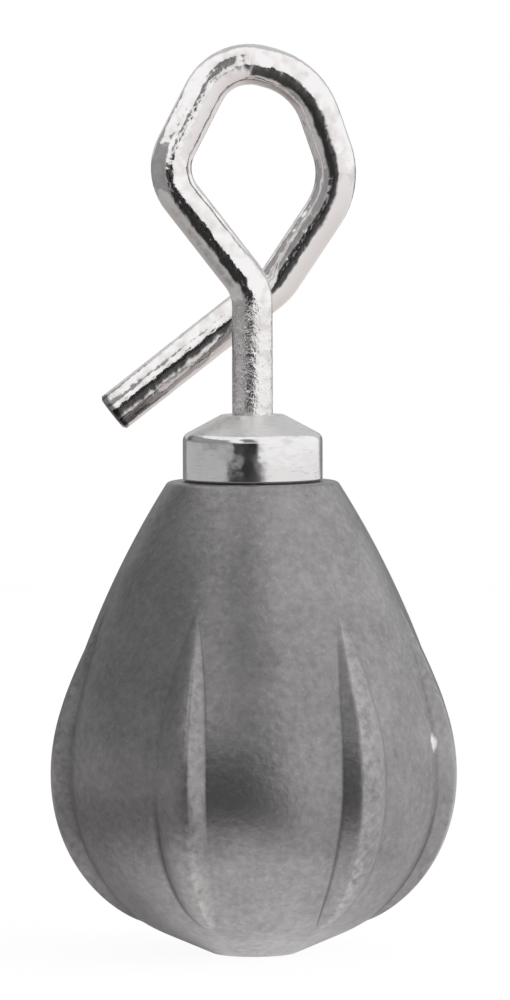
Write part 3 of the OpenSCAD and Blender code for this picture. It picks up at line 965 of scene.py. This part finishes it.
# %% Floor
FLOOR_R = 400
FLOOR_SIDES = 64
PAPER = (0.85, 0.85, 0.85, 1)
bpy.ops.object.select_all(action="DESELECT")
bpy.ops.mesh.primitive_circle_add(vertices=FLOOR_SIDES, radius=FLOOR_R * MM, fill_type="NGON")
floor = bpy.context.object
floor.name = "floor"
paper = bpy.data.materials.new("paper")
paper.use_nodes = True
tree = paper.node_tree
tree.nodes.clear()
matt = add(tree, "ShaderNodeBsdfDiffuse", None, Color=PAPER)
on_paper = coords_in_mm(tree)
spot = add(tree, "ShaderNodeSeparateXYZ", None, Vector=on_paper)
away = add(tree, "ShaderNodeVectorMath", {"operation": "LENGTH"}, i0=on_paper).outputs["Value"]
turned = math_node(tree, "ARCTAN2", spot.outputs["X"],
                   math_node(tree, "MULTIPLY", spot.outputs["Y"], -1.0))
print("floor", 2 * FLOOR_R, "mm across")

# %% Far paper
# Directions are in radians from the front, growing to the right. Reaches are in millimetres.
CARD_LEFT, CARD_RIGHT = (-0.8, -0.6), (0.2, 0.4)
CARD_SHADE = 0.1
FAR_SPAN = (-12.0, 8.0)
FAR_LEFT, FAR_RIGHT = 0.33, 0.95
RING_REACH, RING_SIDE = (18.0, 24.0), (-0.9, -0.6)
RING_LIGHT = 0.2
in_front = math_node(tree, "MULTIPLY", remap(tree, turned, *CARD_LEFT, 0.0, 1.0),
                     remap(tree, turned, *CARD_RIGHT, 1.0, 0.0))
ring = math_node(tree, "MULTIPLY", remap(tree, away, *RING_REACH, 0.0, 1.0),
                 remap(tree, turned, *RING_SIDE, 1.0, 0.0))
across = math_node(tree, "ADD", remap(tree, spot.outputs["X"], *FAR_SPAN, FAR_LEFT, FAR_RIGHT),
                   math_node(tree, "MULTIPLY", ring, RING_LIGHT))
far = math_node(tree, "MULTIPLY", across, remap(tree, in_front, 0.0, 1.0, 1.0, CARD_SHADE))
print("dark card's shade from", CARD_LEFT, "to", CARD_RIGHT)

# %% Near paper
NEAR_REACH, NEAR_LIGHT = (5.0, 12.5), 1.3
LEFT_DIMMING, LEFT_DIMMED = (-1.45, -0.7), 0.5
RIGHT_DIMMING, RIGHT_DIMMED = (1.1, 1.65), 0.75
CONTACT_REACH = (3.0, 7.0)
LEFT_CONTACT, LEFT_CONTACT_SHADE = (-1.3, -0.5), 0.4
RIGHT_CONTACT, RIGHT_CONTACT_SHADE = (0.5, 1.3), 0.2
before = math_node(tree, "MULTIPLY", remap(tree, turned, *LEFT_DIMMING, LEFT_DIMMED, 1.0),
                   remap(tree, turned, *RIGHT_DIMMING, 1.0, RIGHT_DIMMED))
close = math_node(tree, "MULTIPLY", before, remap(tree, away, *NEAR_REACH, NEAR_LIGHT, 0.0))
beside = math_node(tree, "MAXIMUM",
                   remap(tree, turned, *LEFT_CONTACT, LEFT_CONTACT_SHADE, 0.0),
                   remap(tree, turned, *RIGHT_CONTACT, 0.0, RIGHT_CONTACT_SHADE))
under = math_node(tree, "MULTIPLY", beside, remap(tree, away, *CONTACT_REACH, 1.0, 0.0))
lit = math_node(tree, "MULTIPLY", math_node(tree, "MAXIMUM", far, close),
                math_node(tree, "SUBTRACT", 1.0, under))
print("near light", NEAR_LIGHT, "out to", NEAR_REACH[1], "mm")

# %% Floor material
CLEAN_SHARE = 0.85
CLEAN_LIGHT = 1.1
SHEEN = (1, 0.985, 0.985, 1)
glow = add(tree, "ShaderNodeEmission", None, Color=WHITE, Strength=CLEAN_LIGHT)
sheen = add(tree, "ShaderNodeEmission", None, Color=SHEEN, Strength=lit)
path = add(tree, "ShaderNodeLightPath")
shown = math_node(tree, "MULTIPLY", path.outputs["Is Camera Ray"], CLEAN_SHARE)
clean = add(tree, "ShaderNodeMixShader", None, i0=shown, i1=matt.outputs[0], i2=glow.outputs[0])
blend = add(tree, "ShaderNodeMixShader", None,
            i0=path.outputs["Is Glossy Ray"], i1=clean.outputs[0], i2=sheen.outputs[0])
add(tree, "ShaderNodeOutputMaterial", None, Surface=blend.outputs[0])
floor.data.materials.append(paper)
print(paper.name, "with", len(tree.nodes), "nodes")

# %% [markdown]
# ## Cards
# A dark card stands in front, a little to the left, and draws the dark line down the middle of the
# collar and the wire. It is built in bands, because the collar, the cone and the wire each mirror
# another height of it. Grey cards close the left side, two gaps and the back, and the right is
# left open for the lamp. Flat boards would show their corners in the metal, so each card is bent
# round the sinker: it is extruded step by step along its top edge and then down.

# %% Card helper
CARD_STEPS = 24


def card(name, start, end, radius, foot, height, colour, shine):
    """A bent card between two directions in degrees from the front, unseen by the camera."""
    points = [math.radians(start + (end - start) * i / CARD_STEPS) for i in range(CARD_STEPS + 1)]
    bpy.ops.object.select_all(action="DESELECT")
    bpy.ops.mesh.primitive_plane_add(size=MM)
    sheet = bpy.context.object
    sheet.name = name
    bpy.ops.object.mode_set(mode="EDIT")
    bpy.ops.mesh.select_all(action="SELECT")
    bpy.ops.mesh.merge(type="CENTER")
    bpy.ops.transform.translate(value=Vector((0, 0, height)) * MM)
    bpy.ops.transform.translate(
        value=Vector((radius * math.sin(points[0]), -radius * math.cos(points[0]), 0)) * MM)
    for a, b in zip(points, points[1:]):
        step = Vector((math.sin(b) - math.sin(a), math.cos(a) - math.cos(b), 0)) * radius * MM
        bpy.ops.mesh.extrude_region_move(TRANSFORM_OT_translate={"value": step})
    bpy.ops.mesh.select_all(action="SELECT")
    bpy.ops.mesh.extrude_region_move(TRANSFORM_OT_translate={"value": (0, 0, (foot - height) * MM)})
    bpy.ops.object.mode_set(mode="OBJECT")
    material = bpy.data.materials.new(name)
    material.use_nodes = True
    principled = material.node_tree.nodes["Principled BSDF"]
    principled.inputs["Base Color"].default_value = colour
    principled.inputs["Roughness"].default_value = 1.0
    principled.inputs["Emission Color"].default_value = WHITE
    principled.inputs["Emission Strength"].default_value = shine
    sheet.data.materials.append(material)
    sheet.visible_camera = False


# %% Place the cards
CARD_R, LEFT_R, BACK_R, NEAR_R = 110, 112, 120, 17
SILL_H, SLOT_H, DARK_H = 5.3, 8.6, 33
HOOD_FOOT_H, HOOD_STEP_H, HOOD_H = 44, 92, 200
GREY_FOOT_H, LEFT_H = 14, 52
NEAR_FOOT_H, NEAR_H = 12, 26
GAP_H = 26
BACK_H = 300
BLACK = (0.01, 0.01, 0.01, 1)
DARK_GREY = (0.1, 0.1, 0.1, 1)
MID_GREY = (0.2, 0.2, 0.2, 1)
GREY = (0.3, 0.3, 0.3, 1)
cards = [
    # name, first and last direction, distance, foot and top in millimetres, colour, own light
    ("dark_sill", -42, 14, CARD_R, 0, SILL_H, BLACK, 0.03),
    ("dark_slot", -15, 0, CARD_R, SILL_H, SLOT_H, BLACK, 0.01),
    ("dark_card", -31, 9, CARD_R, SLOT_H, DARK_H, BLACK, 0.01),
    ("low_hood", -15, 8, CARD_R, HOOD_FOOT_H, HOOD_STEP_H, MID_GREY, 0.1),
    ("hood", -26, 4, CARD_R, HOOD_STEP_H, HOOD_H, MID_GREY, 0.08),
    ("low_grey_card", -31, -15, CARD_R, SILL_H, SLOT_H, GREY, 0.42),
    ("light_grey_card", -140, -31, LEFT_R, 0, GREY_FOOT_H, GREY, 0.33),
    ("grey_card", -140, -31, LEFT_R, GREY_FOOT_H, LEFT_H, GREY, 0.16),
    ("near_grey_card", -135, -40, NEAR_R, NEAR_FOOT_H, NEAR_H, GREY, 0.06),
    ("left_gap", -176, -140, CARD_R, 0, GAP_H, DARK_GREY, 0.18),
    ("right_gap", 148, 176, CARD_R, 0, GAP_H, DARK_GREY, 0.18),
    ("back_card", 140, 220, BACK_R, 0, BACK_H, GREY, 0.45),
]
for values in cards:
    card(*values)
print(len(cards), "cards")

# %% [markdown]
# ## Lamp
# One soft lamp on the right models the teardrop and casts its shadow. Metal would show its
# rectangle, so it is left out of reflections, where the bright world stands in for it.

# %% Lamp
LAMP_TURN = 75
LAMP_DISTANCE = 140
LAMP_W, LAMP_H = 160, 80
LAMP_RISE = 0.32
LAMP_POWER = 0.12
lamp_data = bpy.data.lights.new("softbox", "AREA")
lamp_data.shape = "RECTANGLE"
lamp_data.size = LAMP_W * MM
lamp_data.size_y = LAMP_H * MM
lamp_data.energy = LAMP_POWER
lamp = bpy.data.objects.new("softbox", lamp_data)
bpy.context.scene.collection.objects.link(lamp)
lamp_turn = math.radians(LAMP_TURN)
lamp_at = Vector((math.sin(lamp_turn), -math.cos(lamp_turn), LAMP_RISE)) * LAMP_DISTANCE
lamp.location = lamp_at * MM
lamp.rotation_euler = (-lamp_at).to_track_quat("-Z", "Y").to_euler()
lamp.visible_camera = False
lamp.visible_glossy = False
print("lamp", LAMP_POWER, "W at", LAMP_DISTANCE, "mm")

# %% [markdown]
# ## Finish
# The colours are shown as they are, with the Standard view transform.

# %% Finish
bpy.context.scene.view_settings.view_transform = "Standard"
